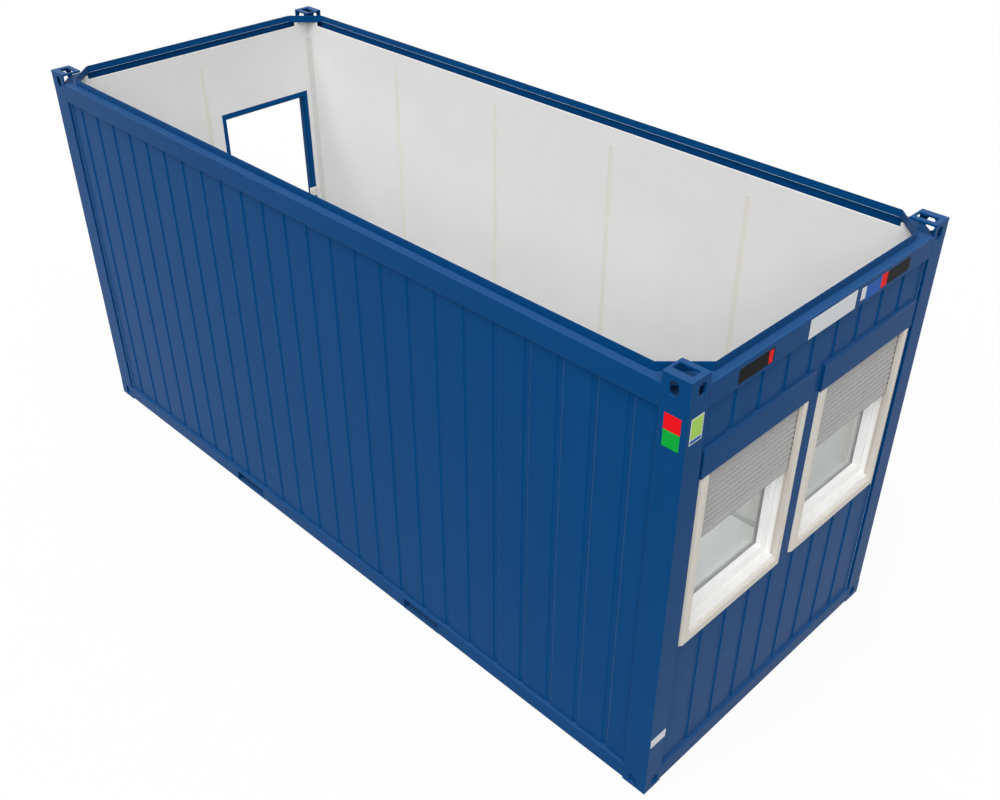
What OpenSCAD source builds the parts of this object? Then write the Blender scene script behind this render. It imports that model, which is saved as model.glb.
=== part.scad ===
// Twenty-foot container cabin, shown with its roof lifted off.
// X runs along the cabin (+X is the window end), Y across it, Z up from the ground.

/* [Overall size] */
// Length over the corner fittings
cabin_l = 6055; // [5600:5:6600]
// Width over the corner fittings
cabin_w = 2435; // [2430:1:2600]
// Height over the corner fittings
cabin_h = 2960; // [2760:5:3200]

/* [Corner fittings and posts] */
// Fitting size along the cabin
fitting_l = 172.5; // [168:0.5:180]
// Fitting size across the cabin
fitting_w = 152.5; // [148:0.5:160]
// Height of an upper fitting
top_fitting_h = 125; // [122:1:135]
// Height of a lower fitting
low_fitting_h = 118; // [112:1:120]
// Plate thickness of a fitting
fitting_t = 15; // [10:1:16]
// Length of the twist-lock slot
slot_l = 120; // [110:1:122]
// Width of the twist-lock slot
slot_w = 64; // [55:1:68]
// Width of an oval side hole
hole_w = 56; // [50:1:60]
// Height of an oval side hole
hole_h = 85; // [75:1:88]
// How far the fittings stand proud of rails and posts
proud = 1.5; // [1:0.5:3]
// Steel thickness of posts and rails
steel_t = 4; // [3:0.5:6]

/* [Rails] */
// Underside of the lower rails above the ground
low_rail_z = 10; // [5:1:15]
// Height of a lower rail
low_rail_h = 116; // [110:1:125]
// Height of the upper rails' face
top_rail_h = 136; // [120:1:150]
// Drop from the fitting top to the upper rails' ledge
top_rail_drop = 74; // [60:1:90]
// Depth of the upper rails' ledge
top_rail_d = 58; // [50:1:66]
// Reach of the ledge past the inner face of the upper rails
top_rail_lip = 12; // [6:1:16]
// Height of the weather upstand on the upper rails
upstand_h = 54; // [40:1:60]
// Leg of the diagonal corner gussets
gusset_leg = 203; // [190:1:230]

/* [Walls] */
// Depth from the rail face to the flat of the wall sheet
sheet_set = 20; // [15:1:25]
// Depth from the rail face to the back of the wall panel
panel_back = 86; // [80:1:90]
// Thickness of the lining board
lining_t = 10; // [8:1:16]
// Height of the lining's top edge
lining_top = 2850; // [2760:5:2860]
// Pitch of the pressed grooves
groove_pitch = 233.1; // [200:0.1:260]
// Width of a groove at the sheet face
groove_w = 48; // [40:1:60]
// Depth of a groove
groove_d = 8; // [5:1:12]
// Width of a joint strip
strip_w = 40; // [30:1:60]
// Height of the skirting boards
skirting_h = 50; // [30:1:80]
// Reach of the boards that close the lining under each gusset
corner_board = 140; // [100:1:160]

/* [Floor and lift pockets] */
// Top of the floor board above the ground
floor_z = 150; // [148:1:156]
// Clear width of a lift pocket
pocket_w = 352; // [300:1:360]
// Clear height of a lift pocket
pocket_h = 83; // [75:1:84]
// Centre distance of the two lift pockets
pocket_pitch = 2050; // [1800:10:2200]
// Wall thickness of a lift pocket
pocket_t = 5; // [4:1:6]

/* [Windows] */
// Width of the wall opening for a window
window_w = 940; // [900:5:945]
// Height of that opening, up to the shutter box
window_h = 1188; // [1000:1:1195]
// Bottom of the opening above the ground
window_z = 1120; // [900:5:1120]
// Distance of a window's centre from the cabin's centre line
window_y = 542; // [535:1:548]
// How far the shutter frame laps over the wall sheet
flange_w = 12; // [8:1:14]
// Width of a shutter guide's face
guide_w = 43; // [38:1:50]
// Height of the shutter frame's foot face
foot_h = 55; // [40:1:60]
// Rise from the foot's top to the window sill
sill_rise = 29; // [20:1:40]
// Width of the sash that shows beside the glass
sash_face = 50; // [40:1:60]
// Width of a shutter box
box_w = 996; // [990:1:1004]
// Height of a shutter box
box_h = 176; // [150:1:190]
// Drop of the half-closed shutter below its box
shutter_drop = 474; // [100:2:900]

/* [Doorway] */
// Width over the door frame
door_w = 905; // [850:1:920]
// Height of the door frame above the floor
door_h = 2115; // [2000:1:2130]
// Distance of the doorway's centre from the cabin's centre line
door_y = 588; // [560:1:590]
// Width of the frame's face on the lining
door_face = 33; // [28:1:40]
// Visible width of the door frame's head
door_head = 42; // [33:1:50]
// Width of the frame at its stop
door_stop = 47; // [42:1:54]

/* [Hidden] */
$fn = 48;
hl = cabin_l / 2;
hw = cabin_w / 2;
face_x = hl - proud;
face_y = hw - proud;
post_x = hl - fitting_l;
post_y = hw - fitting_w;
sheet_x = face_x - sheet_set;
sheet_y = face_y - sheet_set;
back_x = face_x - panel_back;
back_y = face_y - panel_back;
room_x = back_x - lining_t;
room_y = back_y - lining_t;
web_x = face_x - top_rail_d;
web_y = face_y - top_rail_d;
low_rail_top = low_rail_z + low_rail_h;
ledge_z = cabin_h - top_rail_drop;
top_rail_z = ledge_z - top_rail_h;
strip_top = lining_top - 130;
strip_t = 3;
skirting_t = 9;
skirting_top = floor_z + skirting_h;
strip_pitch = 1166;
low_flange = 60;
beam_x = [270, 700, 1330, 1830, 2330, 2800];
beam_w = 60;
sheet_t = 2;
low_hole_z = 60;
top_hole_z = cabin_h - 71;
gusset_round = 537;
fitting_z = cabin_h - top_fitting_h;
plate_lip = 1;
window_top = window_z + window_h;
shutter_w = window_w - 2 * guide_w;
shutter_x = face_x - 30;
shutter_t = 11;
guide_slot = 17;
guide_back = shutter_x - shutter_t - 6;
end_bar_h = 46;
reveal_w = shutter_w - 8;
reveal_top = window_top - 30;
sill_z = window_z + foot_h + sill_rise;
sash_x = face_x - 82;
sash_t = 60;
sash_lap = 15;
bead_d = 30;
bead_slope = 15;
pane_t = 22;
door_top = floor_z + door_h;
strike_z = 1250;
steel_blue = [0.05, 0.16, 0.32];
lining_white = [0.84, 0.84, 0.84];
sash_white = [0.86, 0.86, 0.86];
frame_cream = [0.80, 0.78, 0.73];

// ---- helpers ----

// Extrudes a section drawn as (depth from the face, height) along the cabin side at +Y
module along_side(half_len, face)
    translate([-half_len, face, 0]) rotate([90, 0, 90]) linear_extrude(2 * half_len)
        mirror([1, 0]) children();

// The same for the end at +X
module along_end(half_len, face)
    translate([face, half_len, 0]) rotate([90, 0, 0]) linear_extrude(2 * half_len)
        mirror([1, 0]) children();

module block(x0, x1, y0, y1, z0, z1)
    translate([x0, y0, z0]) cube([x1 - x0, y1 - y0, z1 - z0]);

module both_sides() {
    children();
    mirror([0, 1, 0]) children();
}

// ---- rails ----

module low_rail_section()
    polygon([[0, low_rail_z], [low_flange, low_rail_z], [low_flange, low_rail_z + steel_t],
        [steel_t, low_rail_z + steel_t], [steel_t, low_rail_top - steel_t],
        [panel_back, low_rail_top - steel_t], [panel_back, low_rail_top], [0, low_rail_top]]);

module top_rail_section()
    difference() {
        union() {
            translate([0, top_rail_z]) square([top_rail_d - top_rail_lip, top_rail_h]);
            translate([0, ledge_z - steel_t]) square([top_rail_d, steel_t]);
        }
        translate([steel_t, top_rail_z + steel_t])
            square([top_rail_d - top_rail_lip - 2 * steel_t, top_rail_h - 2 * steel_t]);
    }

module upstand_section()
    translate([top_rail_d - steel_t, ledge_z - steel_t]) square([steel_t, upstand_h + steel_t]);

module pocket_block(width, z0, z1, y1)
    for (side = [-1, 1])
        block(side * pocket_pitch / 2 - width / 2, side * pocket_pitch / 2 + width / 2, -y1, y1, z0, z1);

module side_bottom_rail()
    color(steel_blue) difference() {
        along_side(post_x, face_y) low_rail_section();
        pocket_block(pocket_w + 2 * pocket_t, low_rail_z - 1, low_rail_z + pocket_h + 2 * pocket_t, hw + 1);
    }

module end_bottom_rail()
    color(steel_blue) along_end(post_y, face_x) low_rail_section();

module side_top_rail()
    color(steel_blue) union() {
        along_side(post_x, face_y) top_rail_section();
        along_side(web_x - gusset_leg, face_y) upstand_section();
    }

module end_top_rail()
    color(steel_blue) union() {
        along_end(post_y, face_x) top_rail_section();
        along_end(web_y - gusset_leg, face_x) upstand_section();
    }

// ---- posts and fittings ----

// Hollow L-shaped post in the corner at +X +Y
module post_outline(inset)
    polygon([[face_x - inset, face_y - inset], [post_x + inset, face_y - inset],
        [post_x + inset, back_y + inset], [back_x + inset, back_y + inset],
        [back_x + inset, post_y + inset], [face_x - inset, post_y + inset]]);

// Hollow post with a closed top; its inner walls run on up inside the fitting to the gusset
module corner_post()
    color(steel_blue) union() {
        translate([0, 0, low_fitting_h]) linear_extrude(fitting_z - low_fitting_h) difference() {
            post_outline(0);
            post_outline(steel_t);
        }
        translate([0, 0, fitting_z - 8]) linear_extrude(8) post_outline(0);
        translate([0, 0, fitting_z - 1])
            linear_extrude(ledge_z - steel_t - fitting_z + 1) intersection() {
                difference() {
                    post_outline(0);
                    post_outline(steel_t);
                }
                square([hl - fitting_t, hw - fitting_t]);
            }
    }

module slot_cut(z)
    translate([hl - fitting_l / 2 - 10, hw - fitting_w / 2 - 8, z])
        cube([slot_l, slot_w, 3 * fitting_t], center = true);

// Oval hole through a plate, its long way upright, cut along Y
module oval_cut(z)
    rotate([90, 0, 0]) translate([0, z, 0]) {
        for (end = [-1, 1])
            translate([0, end * (hole_h - hole_w) / 2, 0])
                cylinder(d = hole_w, h = 4 * fitting_t, center = true);
        cube([hole_w, hole_h - hole_w, 4 * fitting_t], center = true);
    }

module side_holes(z) {
    translate([hl - 98, hw, 0]) oval_cut(z);
    translate([hl, hw - 90, 0]) rotate([0, 0, 90]) oval_cut(z);
}

// Two outer plates of a fitting with their oval holes
module fitting_plates(z0, z1, hole_z, lip)
    difference() {
        union() {
            block(post_x, hl - lip, hw - fitting_t, hw - lip, z0, z1);
            block(hl - fitting_t, hl - lip, post_y, hw - lip, z0, z1);
        }
        side_holes(hole_z);
    }

module top_fitting()
    union() {
        fitting_plates(fitting_z, cabin_h, top_hole_z, plate_lip);
        difference() {
            block(post_x, hl, post_y, hw, cabin_h - fitting_t, cabin_h);
            slot_cut(cabin_h);
        }
    }

module bottom_fitting()
    union() {
        fitting_plates(0, low_fitting_h, low_hole_z, 0);
        block(post_x, hl - fitting_t, hw - fitting_t - steel_t, hw - fitting_t, 0, low_fitting_h);
        block(hl - fitting_t - steel_t, hl - fitting_t, post_y, hw - fitting_t, 0, low_fitting_h);
        difference() {
            block(post_x, hl, post_y, hw, 0, fitting_t);
            slot_cut(0);
        }
        block(post_x, hl, post_y, hw, low_fitting_h - 8, low_fitting_h);
        block(post_x, post_x + fitting_t, post_y, hw, 0, low_fitting_h);
        block(post_x, hl, post_y, post_y + fitting_t, 0, low_fitting_h);
    }

// Plate across the corner at ledge height, with a rounded edge inside the fitting, and its upstand
module gusset()
    union() {
        translate([0, 0, ledge_z - steel_t]) linear_extrude(steel_t) intersection() {
            polygon([[web_x, web_y - gusset_leg], [web_x - gusset_leg, web_y], [post_x, web_y],
                [post_x, hw - fitting_t], [hl - fitting_t, hw - fitting_t], [hl - fitting_t, post_y],
                [web_x, post_y]]);
            translate([post_x - gusset_round / 2, post_y - 0.58 * gusset_round])
                circle(gusset_round, $fn = 128);
        }
        translate([0, 0, ledge_z]) linear_extrude(upstand_h)
            polygon([[web_x, web_y - gusset_leg], [web_x - gusset_leg, web_y],
                [web_x - gusset_leg + steel_t * sqrt(2), web_y],
                [web_x, web_y - gusset_leg + steel_t * sqrt(2)]]);
    }

module at_corners()
    for (mx = [0, 1], my = [0, 1]) mirror([mx, 0, 0]) mirror([0, my, 0]) children();

// ---- walls ----

// Sheet outline in plan: flat pans with narrow pressed grooves, drawn as (along, depth)
function groove_points(centre) = [[centre - groove_w / 2, 0], [centre - groove_w / 2 + groove_d, groove_d],
    [centre + groove_w / 2 - groove_d, groove_d], [centre + groove_w / 2, 0]];

function groove_centres(half_len) =
    let (count = floor((2 * half_len - groove_w - 10) / groove_pitch))
    [for (i = [0:count - 1]) (i - (count - 1) / 2) * groove_pitch];

// Wall panel standing on the lower rail, with its grooves between two stations along the wall
module panel_solid(from, to, half_len, z0, z1) {
    grooves = [for (c = groove_centres(half_len)) if (c - groove_w > from && c + groove_w < to) c];
    translate([0, 0, z0]) linear_extrude(z1 - z0)
        polygon(concat([[from, 0]], [for (c = grooves) each groove_points(c)],
            [[to, 0], [to, panel_back - sheet_set], [from, panel_back - sheet_set]]));
}

module side_panel()
    color(steel_blue) translate([0, sheet_y, 0]) mirror([0, 1, 0])
        panel_solid(-post_x, post_x, post_x, low_rail_top, top_rail_z);

module end_panel(from, to, z0, z1)
    color(steel_blue) translate([sheet_x, 0, 0]) rotate([0, 0, 90]) panel_solid(from, to, post_y, z0, z1);

module window_cut(depth_from, depth_to)
    for (side = [-1, 1])
        block(depth_from, depth_to, side * window_y - window_w / 2, side * window_y + window_w / 2,
            window_z, window_top);

module box_cut()
    for (side = [-1, 1])
        block(back_x - 1, hl, side * window_y - box_w / 2, side * window_y + box_w / 2,
            window_top - 1, window_top + box_h);

module window_panel()
    difference() {
        end_panel(-post_y, post_y, low_rail_top, top_rail_z);
        window_cut(back_x - 1, hl);
        box_cut();
    }

module door_panel(from, to, z0, z1)
    mirror([1, 0, 0]) end_panel(from, to, z0, z1);

door_lo = door_y - door_w / 2;
door_hi = door_y + door_w / 2;

module side_lining()
    color(lining_white) block(-back_x, back_x, room_y, back_y, floor_z, lining_top);

module end_lining()
    color(lining_white) block(room_x, back_x, -room_y, room_y, floor_z, lining_top);

module strips_on_side()
    for (i = [-1.5:1:1.5])
        block(i * strip_pitch - strip_w / 2, i * strip_pitch + strip_w / 2, room_y - strip_t, room_y,
            skirting_top, strip_top);

module joint_strips()
    color(frame_cream) {
        both_sides() strips_on_side();
        for (mx = [0, 1]) mirror([mx, 0, 0])
            block(room_x - strip_t, room_x, -strip_w / 2, strip_w / 2, skirting_top,
                strip_top);
    }

// Coves up the corners, boards that close the lining under the gussets, and skirting boards
module room_trims()
    color(lining_white) union() {
        at_corners() translate([room_x, room_y, skirting_top + 1])
            linear_extrude(strip_top - skirting_top - 1)
            polygon([[0, 0], [-35, 0], [-35, -2], [-2, -35], [0, -35]]);
        at_corners() translate([room_x, room_y, lining_top]) linear_extrude(ledge_z - steel_t - lining_top)
            polygon([[0, 0], [-corner_board, 0], [-corner_board, 3], [3, 3], [3, -corner_board],
                [0, -corner_board]]);
        both_sides() block(-room_x, room_x, room_y - skirting_t, room_y, floor_z, skirting_top);
        block(room_x - skirting_t, room_x, -room_y, room_y, floor_z, skirting_top);
        block(-room_x, -room_x + skirting_t, -room_y, door_lo, floor_z, skirting_top);
        block(-room_x, -room_x + skirting_t, door_hi, room_y, floor_z, skirting_top);
    }

// ---- floor ----

module beam_section()
    difference() {
        square([beam_w, low_rail_h - 2 * steel_t]);
        translate([steel_t, steel_t]) square([beam_w, low_rail_h - 4 * steel_t]);
    }

module floor_beams()
    color([0.45, 0.46, 0.47]) for (mx = [0, 1]) mirror([mx, 0, 0]) for (x = beam_x)
        translate([x - beam_w / 2, face_y - steel_t, low_rail_z + steel_t]) rotate([90, 0, 0])
            linear_extrude(2 * (face_y - steel_t)) beam_section();

module lift_pockets()
    color(steel_blue) difference() {
        pocket_block(pocket_w + 2 * pocket_t, low_rail_z, low_rail_z + pocket_h + 2 * pocket_t, face_y);
        pocket_block(pocket_w, low_rail_z + pocket_t, low_rail_z + pocket_t + pocket_h, hw);
    }

module underfloor_sheet()
    color([0.62, 0.64, 0.66]) difference() {
        block(-face_x + low_flange, face_x - low_flange, -face_y + low_flange, face_y - low_flange,
            low_rail_z + steel_t - sheet_t, low_rail_z + steel_t);
        pocket_block(pocket_w + 2 * pocket_t, 0, low_rail_top, hw);
    }

module floor_board()
    color([0.55, 0.56, 0.57]) block(-back_x, back_x, -back_y, back_y, low_rail_top - steel_t, floor_z);

// ---- windows, drawn for the one at +Y ----

// Block about the window's centre line
module window_block(x0, x1, w, z0, z1)
    block(x0, x1, window_y - w / 2, window_y + w / 2, z0, z1);

// The same, with its sides, foot and head drawn in by these slopes at x1
module sloped_block(x0, x1, w, z0, z1, sides, foot, head)
    intersection() {
        translate([0, window_y, z0 - bead_slope]) linear_extrude(z1 - z0 + 2 * bead_slope)
            polygon([[x0, -w / 2], [x0, w / 2], [x1, w / 2 - sides], [x1, -w / 2 + sides]]);
        translate([0, window_y + w / 2 + bead_slope, 0])
            rotate([90, 0, 0]) linear_extrude(w + 2 * bead_slope)
                polygon([[x0, z0], [x1, z0 + foot], [x1, z1 - head], [x0, z1]]);
    }

module shutter_frame()
    color(frame_cream) difference() {
        union() {
            sloped_block(sheet_x, face_x, window_w + 2 * flange_w, window_z - flange_w, window_top,
                flange_w, flange_w, 0);
            window_block(guide_back, sheet_x, window_w - 2, window_z + 1, window_top);
        }
        window_block(guide_back - 1, sheet_x, shutter_w, window_z, window_top + 1);
        window_block(sheet_x - 1, hl, shutter_w, window_z + foot_h, window_top + 1);
        window_block(shutter_x - shutter_t - 2, shutter_x + 2, shutter_w + 2 * guide_slot,
            window_z + foot_h, window_top + 1);
    }

module window_frame()
    color(sash_white) difference() {
        union() {
            window_block(sash_x - sash_t - 4, guide_back, window_w - 4, window_z + 2, window_top - 2);
            window_block(guide_back, sheet_x, shutter_w - 2, window_z + 2, sill_z);
            window_block(room_x - 4, room_x, window_w + 44, window_z - 22, window_top + 22);
        }
        window_block(sash_x, sheet_x + 1, reveal_w, sill_z, reveal_top);
        window_block(sash_x - sash_t - 5, sash_x + 1, reveal_w + 2 * sash_lap + 6,
            sill_z - sash_lap - 3, reveal_top + sash_lap + 3);
    }

glass_w = reveal_w - 2 * sash_face - 2 * bead_slope;
glass_lo = sill_z + sash_face + 2 * bead_slope;
glass_hi = reveal_top - sash_face - bead_slope;

module window_sash()
    color(sash_white) difference() {
        window_block(sash_x - sash_t, sash_x, reveal_w + 2 * sash_lap,
            sill_z - sash_lap, reveal_top + sash_lap);
        sloped_block(sash_x - bead_d, sash_x, glass_w, glass_lo, glass_hi,
            -bead_slope, -bead_slope, -bead_slope);
        window_block(sash_x - bead_d - pane_t, sash_x - bead_d, glass_w + 20, glass_lo - 10, glass_hi + 10);
        window_block(sash_x - sash_t - 1, sash_x - bead_d, glass_w, glass_lo, glass_hi);
    }

module window_panes()
    color([0.75, 0.80, 0.82, 0.4]) both_sides()
        window_block(sash_x - bead_d - pane_t, sash_x - bead_d, glass_w + 20, glass_lo - 10, glass_hi + 10);

module shutters()
    color([0.60, 0.60, 0.60]) both_sides() union() {
        window_block(shutter_x - shutter_t, shutter_x, shutter_w + guide_slot,
            window_top - shutter_drop + end_bar_h, window_top);
        window_block(shutter_x - shutter_t, shutter_x + 1, shutter_w + guide_slot,
            window_top - shutter_drop, window_top - shutter_drop + end_bar_h);
    }

module shutter_boxes()
    color(steel_blue) both_sides() difference() {
        window_block(back_x, face_x, box_w, window_top, window_top + box_h);
        window_block(back_x + 3, face_x - 3, box_w - 6, window_top + 3, window_top + box_h - 3);
    }

// ---- doorway, in the end at -X ----

module door_section(face) {
    stop = face + door_stop - door_face;
    polygon([[0, 0], [face, 0], [face, 18], [stop, 18], [stop, 48], [face, 48], [face, 90], [0, 90]]);
}

module door_frame()
    color(steel_blue) union() {
        for (side = [0, 1]) translate([0, side * 2 * door_y, 0]) mirror([0, side, 0])
            translate([-room_x + 4, door_lo, floor_z]) rotate([0, 0, 90])
                linear_extrude(door_h) door_section(door_face);
        translate([-room_x + 4, door_lo, door_top]) rotate([0, 90, 90])
            linear_extrude(door_w) door_section(door_head);
    }

module door_sill()
    color([0.62, 0.63, 0.64]) block(-face_x + 6, -back_x, door_lo + door_stop, door_hi - door_stop,
        low_rail_top, floor_z + 4);

module strike_box()
    color(frame_cream) block(-room_x + 4, -room_x + 24, door_hi - 78, door_hi - 4, strike_z, strike_z + 84);

module door_end_lining()
    difference() {
        mirror([1, 0, 0]) end_lining();
        block(-hl, -room_x + 1, door_lo, door_hi, floor_z - 1, door_top);
    }

module window_end_lining()
    difference() {
        end_lining();
        window_cut(room_x - 1, back_x + 1);
    }

// ---- all parts ----

mirror([0, 1, 0]) side_bottom_rail();  // front_bottom_rail
side_bottom_rail();  // back_bottom_rail
end_bottom_rail();  // window_end_bottom_rail
mirror([1, 0, 0]) end_bottom_rail();  // door_end_bottom_rail
mirror([0, 1, 0]) side_top_rail();  // front_top_rail
side_top_rail();  // back_top_rail
end_top_rail();  // window_end_top_rail
mirror([1, 0, 0]) end_top_rail();  // door_end_top_rail
mirror([0, 1, 0]) corner_post();  // front_window_post
corner_post();  // back_window_post
mirror([1, 0, 0]) mirror([0, 1, 0]) corner_post();  // front_door_post
mirror([1, 0, 0]) corner_post();  // back_door_post
color(steel_blue) both_sides() bottom_fitting();  // window_end_bottom_fittings
color(steel_blue) mirror([1, 0, 0]) both_sides() bottom_fitting();  // door_end_bottom_fittings
color(steel_blue) both_sides() top_fitting();  // window_end_top_fittings
color(steel_blue) mirror([1, 0, 0]) both_sides() top_fitting();  // door_end_top_fittings
color(steel_blue) at_corners() gusset();  // corner_gussets
mirror([0, 1, 0]) side_panel();  // front_wall_panel
side_panel();  // back_wall_panel
window_panel();  // window_wall_panel
door_panel(-post_y, door_lo, low_rail_top, top_rail_z);  // door_wall_wide_panel
door_panel(door_hi, post_y, low_rail_top, top_rail_z);  // door_wall_narrow_panel
door_panel(door_lo, door_hi, door_top, top_rail_z);  // door_wall_header_panel
mirror([0, 1, 0]) side_lining();  // front_lining
side_lining();  // back_lining
window_end_lining();
door_end_lining();
joint_strips();
room_trims();
floor_beams();
lift_pockets();
underfloor_sheet();
floor_board();
mirror([0, 1, 0]) shutter_frame();  // front_shutter_frame
shutter_frame();  // back_shutter_frame
mirror([0, 1, 0]) window_frame();  // front_window_frame
window_frame();  // back_window_frame
mirror([0, 1, 0]) window_sash();  // front_window_sash
window_sash();  // back_window_sash
window_panes();
shutters();
shutter_boxes();
door_frame();
door_sill();
strike_box();
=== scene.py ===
"""Looks of a twenty-foot container cabin, shown with its roof lifted off."""

import math

import bmesh
import bpy
from mathutils import Matrix, Vector
from mathutils.bvhtree import BVHTree


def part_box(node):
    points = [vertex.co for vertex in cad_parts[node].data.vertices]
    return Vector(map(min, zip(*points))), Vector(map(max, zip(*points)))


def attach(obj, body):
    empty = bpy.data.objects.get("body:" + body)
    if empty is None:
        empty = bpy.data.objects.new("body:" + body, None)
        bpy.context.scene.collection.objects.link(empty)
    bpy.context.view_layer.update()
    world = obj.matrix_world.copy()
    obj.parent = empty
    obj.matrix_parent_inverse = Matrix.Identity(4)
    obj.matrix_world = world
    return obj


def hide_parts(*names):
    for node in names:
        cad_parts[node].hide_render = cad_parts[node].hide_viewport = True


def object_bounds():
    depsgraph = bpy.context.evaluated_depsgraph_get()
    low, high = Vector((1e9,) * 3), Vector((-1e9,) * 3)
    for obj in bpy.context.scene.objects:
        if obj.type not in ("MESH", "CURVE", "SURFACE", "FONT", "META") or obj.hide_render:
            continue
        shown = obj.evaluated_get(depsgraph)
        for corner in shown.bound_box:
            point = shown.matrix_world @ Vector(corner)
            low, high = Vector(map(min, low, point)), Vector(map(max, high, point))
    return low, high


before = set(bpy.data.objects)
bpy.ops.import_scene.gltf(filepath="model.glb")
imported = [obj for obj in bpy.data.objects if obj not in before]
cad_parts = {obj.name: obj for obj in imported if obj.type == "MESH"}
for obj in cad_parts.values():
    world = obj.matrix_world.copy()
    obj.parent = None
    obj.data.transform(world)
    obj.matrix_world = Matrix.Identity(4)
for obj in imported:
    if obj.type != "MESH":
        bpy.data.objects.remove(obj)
cad_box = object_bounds()

bl_info = {
    "name": "Container cabin",
    "version": (1, 0, 0),
    "blender": (4, 5, 0),
    "location": "View3D > Sidebar > Cabin",
    "description": "Builds the finished surfaces and small parts of a container cabin",
    "category": "Object",
}

MERGE = 0.00001  # corners closer than this are one corner
FLAT_ANGLE = math.radians(0.5)  # faces turned by less than this are one flat face
FOLD_ANGLE = math.radians(28)  # folds sharper than this are rounded
ROUND_SHARE = 0.4  # the share of a narrow face that rounding may take
TOUCH = 0.0008  # surfaces closer than this touch
CHAMFER = 0.203  # how far a gusset reaches along a rail
SKIRTING_T = 0.009  # depth of the skirting boards
BOARD_ROUND = 0.0012  # rounding of the lining boards
MIRROR_FADE = (-4.0, 3.6)  # where along X the floor's mirrored white starts and ends its fade
WHITE = (1.0, 1.0, 1.0, 1.0)
MIX_FACTOR, MIX_A, MIX_B, MIX_RESULT = 0, 6, 7, 2  # sockets of a mix node set to colours
WALL_SHEETS = {  # the axis that each sheet faces along
    "front_wall_panel": 1, "back_wall_panel": 1, "window_wall_panel": 0,
    "door_wall_wide_panel": 0, "door_wall_narrow_panel": 0, "door_wall_header_panel": 0,
}


# ---- settings ----


def colour(name, description, default):
    return bpy.props.FloatVectorProperty(
        name=name, description=description, default=default,
        subtype="COLOR_GAMMA", size=3, min=0.0, max=1.0,
    )


def length(name, description, default):
    return bpy.props.FloatProperty(
        name=name, description=description, default=default, unit="LENGTH", min=0.0, precision=4,
    )


def amount(name, description, default, low=0.0, high=10.0):
    return bpy.props.FloatProperty(
        name=name, description=description, default=default, min=low, max=high,
    )


class CabinColours(bpy.types.PropertyGroup):
    """Colours of the paints, boards and plastics, as they look in plain light"""

    enamel: colour("Frame enamel", "Posts, rails, fittings and boxes", (0.013, 0.260, 0.467))
    sheet: colour("Wall sheet", "Pressed outer wall sheets", (0.013, 0.262, 0.470))
    lining: colour("Lining board", "Coated boards inside the room", (0.868, 0.868, 0.866))
    # Partly the coves' own grey and partly painted shade: kept darker than the lining to stand for the shade
    # in the room's corners.
    cove: colour("Corner coves", "Angled strips up the corners of the room", (0.775, 0.775, 0.766))
    cream: colour("Cream plastic", "Shutter guides and boxes' trims", (0.840, 0.820, 0.782))
    strip: colour("Joint strips", "Strips over the lining's joints", (0.858, 0.850, 0.822))
    white: colour("White plastic", "Window frames and sashes", (0.945, 0.945, 0.942))
    slat: colour("Shutter slats", "Roller shutter curtains", (0.665, 0.664, 0.662))
    # Painted light: the pale strips behind the slots stand for the light that shows through them.
    gap: colour("Light slots", "What shows through the slots of a curtain", (0.860, 0.860, 0.855))
    zinc: colour("Zinc", "Galvanised sheets and screws", (0.640, 0.655, 0.665))
    primer: colour("Primer", "Floor beams under the cabin", (0.420, 0.430, 0.440))
    vinyl: colour("Floor sheet", "Flooring in the room", (0.850, 0.858, 0.852))
    skirting: colour("Skirting", "Skirting boards round the room", (0.640, 0.655, 0.650))
    # Painted reflection: this pale share laid on faces that look up stands for the white that the paint
    # mirrors there.
    painted_top_light: colour("Dust", "Pale dust on painted faces that look up", (0.880, 0.890, 0.800))
    # Painted shade: this grey share laid on plastic faces that look up darkens them against the extra light
    # that tops get.
    painted_top_shade: colour("Grime", "Grey film on plastic faces that look up", (0.600, 0.600, 0.585))
    rubber: colour("Dark rubber", "Door seal and shutter feet", (0.130, 0.130, 0.135))
    seal: colour("Pale seal", "Glazing seals", (0.700, 0.710, 0.705))
    # Partly real sealant and partly painted highlight: the beads are pale to stand for the bright line along
    # the sheet and rail edges.
    sealant: colour("Sealant", "Thin beads along the wall sheets", (0.620, 0.690, 0.750))
    plate_dark: colour("Dark plate", "Blank dark plates on the end rail", (0.060, 0.060, 0.060))
    plate_pale: colour("Pale plate", "Blank pale plates", (0.825, 0.840, 0.850))
    plate_green: colour("Green plate", "Blank green plate on the near post", (0.060, 0.640, 0.230))
    plate_lime: colour("Lime field", "Blank field of the plate on the near post", (0.640, 0.810, 0.360))
    plate_red: colour("Red plate", "Blank red plates and plate ends", (0.900, 0.080, 0.110))
    plate_blue: colour("Blue plate", "Blank blue plates", (0.120, 0.350, 0.660))


class CabinSizes(bpy.types.PropertyGroup):
    """Sizes of the small parts and of the rounding on the large ones"""

    steel_round: length("Steel fold", "Rounding of folded steel edges", 0.004)
    sheet_round: length("Sheet fold", "Rounding of the pressed grooves", 0.0015)
    casting_round: length("Fitting edge", "Rounding of the corner fittings", 0.003)
    plastic_round: length("Plastic edge", "Rounding of window members", 0.0025)
    row_pitch: length("Slat pitch", "Height of one shutter slat", 0.0375)
    hole_pitch: length("Hole pitch", "Spacing of the light holes along a slat", 0.028)
    hole_length: length("Hole length", "Length of a light hole", 0.014)
    hole_height: length("Hole height", "Height of a light hole", 0.0050)
    strip_height: length("Hook strip", "Height of the flat strip between two slats", 0.0105)
    bead_size: length("Sealant bead", "Half width of a bead of sealant", 0.0012)
    rail_bead_size: length("Rail bead", "Half width of the bead along a roof rail", 0.0011)
    box_screw: length("Box screw", "Radius of a screw head under a shutter box", 0.004)
    cover_screw: length("Cover screw", "Radius of a screw head in the strike cover", 0.0028)
    rivet: length("Rivet", "Radius of a rivet in a plate", 0.0014)
    plate_depth: length("Plate depth", "Thickness of a blank plate", 0.0010)


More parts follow.
